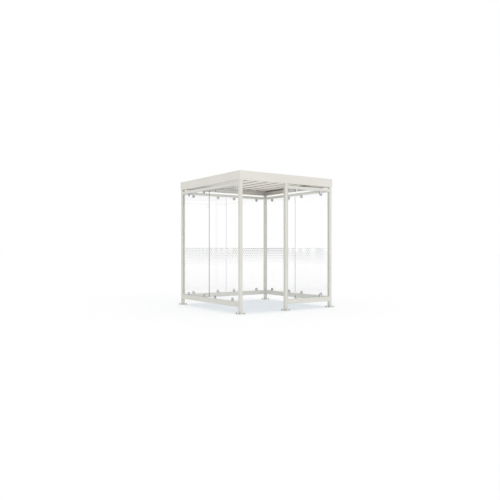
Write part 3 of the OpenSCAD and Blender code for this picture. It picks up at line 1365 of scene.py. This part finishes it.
@dataclass
class Roof(SubAssembly):
    """Folded roof sheets with their screws, foam seals and rib closures."""

    fold: float = 1.6 * MM
    # Edges that run further than this along Y are folds, between these angles in radians
    fold_run: float = 1.0
    fold_angles: Pair = (0.1, 1.45)
    edge: float = 20 * MM
    sheet_t: float = 1 * MM
    rib_pitch: float = 233 * MM
    rib_foot: float = 80 * MM
    rib_crest: float = 60 * MM
    ribs: int = 8
    raised_w: float = 70 * MM
    stitch_step: float = 400 * MM
    stitches: Sequence[int] = range(-2, 3)
    washer: tuple[Pair, ...] = ((9 * MM, 0.0), (8.46 * MM, 1.2 * MM), (5 * MM, 2.4 * MM))
    washer_sides: int = 16
    head: tuple[Pair, ...] = ((5 * MM, 1.8 * MM), (5 * MM, 6.2 * MM), (4 * MM, 7 * MM), (0.0, 7 * MM))
    seal_w: float = 42 * MM
    seal_drop: float = 17 * MM
    seal_rise: float = 6 * MM
    closure_l: float = 30 * MM
    foam_r: float = 2 * MM
    sheets: tuple[str, str] = ("roof_sheet_left", "roof_sheet_right")

    @property
    def pan(self) -> float:
        """Underside of the sheets between the ribs."""
        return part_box("front_roof_bearer")[1].z

    def rib_x(self, number: float) -> float:
        """Middle of a rib, counted from the raised edge on the right."""
        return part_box(self.sheets[1])[1].x - self.raised_w / 2 - number * self.rib_pitch

    def sheet(self, node: str) -> Mesh:
        """Copy a sheet and round its folds.

        Args:
            node: The CAD node.

        Returns:
            The mesh.
        """
        shape = merged_copy(node)
        flattest, sharpest = self.fold_angles
        folds = [
            edge for edge in shape.edges
            if abs(edge.verts[0].co.y - edge.verts[1].co.y) > self.fold_run
            and flattest < edge.calc_face_angle(0.0) < sharpest
        ]
        soften(shape, folds, self.fold)
        return close_off(node + "_fold", shape)

    def screw(self) -> Mesh:
        """Hex-head screw with its sealing washer, standing on Z = 0.

        Returns:
            The mesh.
        """
        shape = bmesh.new()
        lathe(shape, self.washer, self.washer_sides)
        lathe(shape, self.head, HEX)
        return close_off("roof_screw", shape)

    def bar(self, name: str, outline: Sequence[Pair], reach: float) -> Mesh:
        """Foam bar along Y with softened edges.

        Args:
            name: The mesh's name.
            outline: Its section as X and Z, anticlockwise.
            reach: How far it runs each way of Y = 0.

        Returns:
            The mesh.
        """
        shape = bmesh.new()
        near, far = ([shape.verts.new((x, y, z)) for x, z in outline] for y in (-reach, reach))
        ladder(shape, near, far)
        shape.faces.new(near)
        shape.faces.new(far)
        bmesh.ops.recalc_face_normals(shape, faces=shape.faces)
        soften(shape, list(shape.edges), self.foam_r)
        return close_off(name, shape)

    def seals(self) -> None:
        """Make the dark foam seals along the side fascias, which also paint the shade in the recess there."""
        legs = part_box("back_roof_bearer")
        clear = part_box(self.sheets[0])[1].y - (legs[1].y - legs[0].y) - self.sheet_t
        low, high = self.pan - self.seal_drop, self.pan + self.seal_rise
        for side, wall in ((-1, Wall.LEFT), (1, Wall.RIGHT)):
            fascia = max(abs(corner.x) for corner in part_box(wall.node("fascia")))
            outer = side * (fascia - Fascia.plate)
            inner = outer - side * self.seal_w
            outline = [(inner, low), (outer, low), (outer, high), (inner, high)]
            self.piece(self.bar(wall.node("roof_seal"), outline, clear), Slot.GASKET, [self.finishes.foam])

    def closures(self) -> None:
        """Make the foam closures in the ends of the ribs."""
        foam, half = self.finishes.foam, self.closure_l / 2
        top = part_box(self.sheets[1])[1]
        rise = top.z - self.pan - 2 * self.sheet_t
        foot, crest = self.rib_foot / 2 - self.sheet_t, self.rib_crest / 2 - self.sheet_t
        outline = [(-foot, 0.0), (foot, 0.0), (crest, rise), (-crest, rise)]
        ends = Sites()
        for i in range(self.ribs):
            for y in (-1, 1):
                ends.add(Matrix.Translation((self.rib_x(i + 1), y * (top.y - half), self.pan)))
        made = ends.scatter("rib_closures", self.bar("rib_closure", outline, half), foam)
        self.piece(made, Slot.GASKET, [foam])

    def screws(self) -> None:
        """Make the screws through the pans into the bearers, and along the lapped rib."""
        zinc, corner = self.finishes.zinc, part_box(self.sheets[0])[1]
        back = corner.y - self.edge
        spots = Sites()
        for i in range(self.ribs):
            for y in (-back, back):
                spots.add(Matrix.Translation((self.rib_x(i + 0.5), y, self.pan + self.sheet_t)))
        for i in self.stitches:
            spots.add(Matrix.Translation((self.rib_x(self.ribs / 2), i * self.stitch_step, corner.z)))
        self.piece(spots.scatter("roof_screws", self.screw(), zinc), Slot.CLAMP, [zinc])

    def dress(self) -> None:
        """Make the sheets and what seals and holds them pieces."""
        for node in self.sheets:
            self.piece(self.sheet(node), Slot.ROOF, [self.finishes.sheet], node)
        self.seals()
        self.closures()
        self.screws()


@dataclass
class Studio:
    """White floor, soft light and the camera."""

    eye: Triple = (-6.123, -8.593, 1.065)
    heading: float = 35.0
    focal_px: float = 553.8
    photo_px: float = 500.0
    horizon_px: float = 249.8
    sensor: float = 36.0
    floor_size: float = 600.0
    sky: float = 0.78
    overhead: float = 0.22
    overhead_angle: float = 11.0
    key: float = 0.15
    key_angle: float = 70.0
    key_from: Triple = (0.35, -1.0, 0.20)
    shadow_depth: Triple = (0.74, 0.64, 0.53)

    def camera(self) -> None:
        """Set the camera where the photo was taken from."""
        lens = bpy.data.cameras.new("camera")
        lens.sensor_width = self.sensor
        lens.lens = self.focal_px / self.photo_px * self.sensor
        lens.shift_y = (self.horizon_px - self.photo_px / 2) / self.photo_px
        lens.clip_end = self.floor_size
        made = stand("camera", lens)
        made.location = self.eye
        made.rotation_euler = (math.pi / 2, 0.0, -math.radians(self.heading))
        bpy.context.scene.camera = made

    def backdrop(self) -> None:
        """Even light all round, with pure white where the backdrop shows."""
        world = bpy.data.worlds.new("studio")
        bpy.context.scene.world = world
        world.use_nodes = True
        sketch = NodeSketch(world.node_tree)
        path = sketch.node("ShaderNodeLightPath").outputs
        seen = path["Is Camera Ray"]
        for ray in ("Is Glossy Ray", "Is Transmission Ray"):
            seen = sketch.math("MAXIMUM", seen, path[ray])
        seen = sketch.math("MULTIPLY", seen, sketch.math("LESS_THAN", path["Diffuse Depth"], 0.5))
        light, white = (
            sketch.out("ShaderNodeBackground", {"Color": WHITE, "Strength": level})
            for level in (self.sky, 1.0)
        )
        mixed = sketch.out("ShaderNodeMixShader", {0: seen, 1: light, 2: white})
        sketch.node("ShaderNodeOutputWorld", {"Surface": mixed})

    def floor(self) -> None:
        """White floor, partly glowing, so that only the shelter's soft shadow shows on it."""
        half = self.floor_size / 2
        mesh = bpy.data.meshes.new("floor")
        corners = [(-half, -half, 0), (half, -half, 0), (half, half, 0), (-half, half, 0)]
        mesh.from_pydata(corners, [], [(0, 1, 2, 3)])
        material = bpy.data.materials.new("floor")
        material.use_nodes = True
        sketch = NodeSketch(material.node_tree)
        level = self.sky + self.overhead + self.key * Vector(self.key_from).normalized().z
        glows = tuple(1 - part for part in self.shadow_depth)
        paper = sketch.out("ShaderNodeBsdfDiffuse", {"Color": shade(self.shadow_depth, 1 / level)})
        glow = sketch.out("ShaderNodeEmission", {"Color": shade(glows)})
        mixed = sketch.out("ShaderNodeAddShader", {0: paper, 1: glow})
        sketch.node("ShaderNodeOutputMaterial", {"Surface": mixed})
        mesh.materials.append(material)
        stand("floor", mesh)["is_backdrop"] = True

    def lamp(self, name: str, source: Vector, level: float, angle: float) -> None:
        """Hang one far lamp.

        Args:
            name: Its name.
            source: Direction that its light comes from.
            level: Brightness of a white card that faces it.
            angle: How wide it looks, in degrees.
        """
        light = bpy.data.lights.new(name, "SUN")
        light.energy = level * math.pi
        light.angle = math.radians(angle)
        stand(name, light).rotation_euler = source.to_track_quat("Z", "Y").to_euler()

    def build(self) -> None:
        """Make the whole studio."""
        self.camera()
        self.backdrop()
        self.floor()
        self.lamp("overhead", Vector((0.0, 0.0, 1.0)), self.overhead, self.overhead_angle)
        self.lamp("key", Vector(self.key_from), self.key, self.key_angle)


def dress_cad_nodes(finishes: Finishes) -> None:
    """Give every CAD node its finish.

    Args:
        finishes: The materials.
    """
    by_slot = {
        Slot.FRAME: finishes.coat,
        Slot.ROOF: finishes.sheet,
        Slot.GLASS: finishes.glass,
        Slot.CLAMP: finishes.clamp,
        Slot.GASKET: finishes.rubber,
    }
    for part in frame["record"]["subparts"]:
        mesh = frame["nodes"][part["node"]].data
        mesh.materials.clear()
        mesh.materials.append(by_slot[Slot(part["material_slot"])])


def write_sizes() -> None:
    """Set the visual model's box beside the CAD box; the pair is not kept."""
    boxes = {"cad": CAD_BOX, "visual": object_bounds()}
    {name: [list(corner) for corner in box] for name, box in boxes.items()}


def main() -> None:
    """Build the shelter's looks and its studio."""
    logging.basicConfig(level=logging.INFO, format="%(name)s %(message)s")
    bpy.context.scene.view_settings.view_transform = "Standard"
    finishes = Finishes()
    dress_cad_nodes(finishes)
    plan = Plan.from_frame()
    for assembly in (TubeFrame, Fascia, BasePlates, GlassWalls, GlassClamps, Roof):
        assembly(plan, finishes).dress()
    Studio().build()
    write_sizes()


if __name__ == "__main__":
    main()
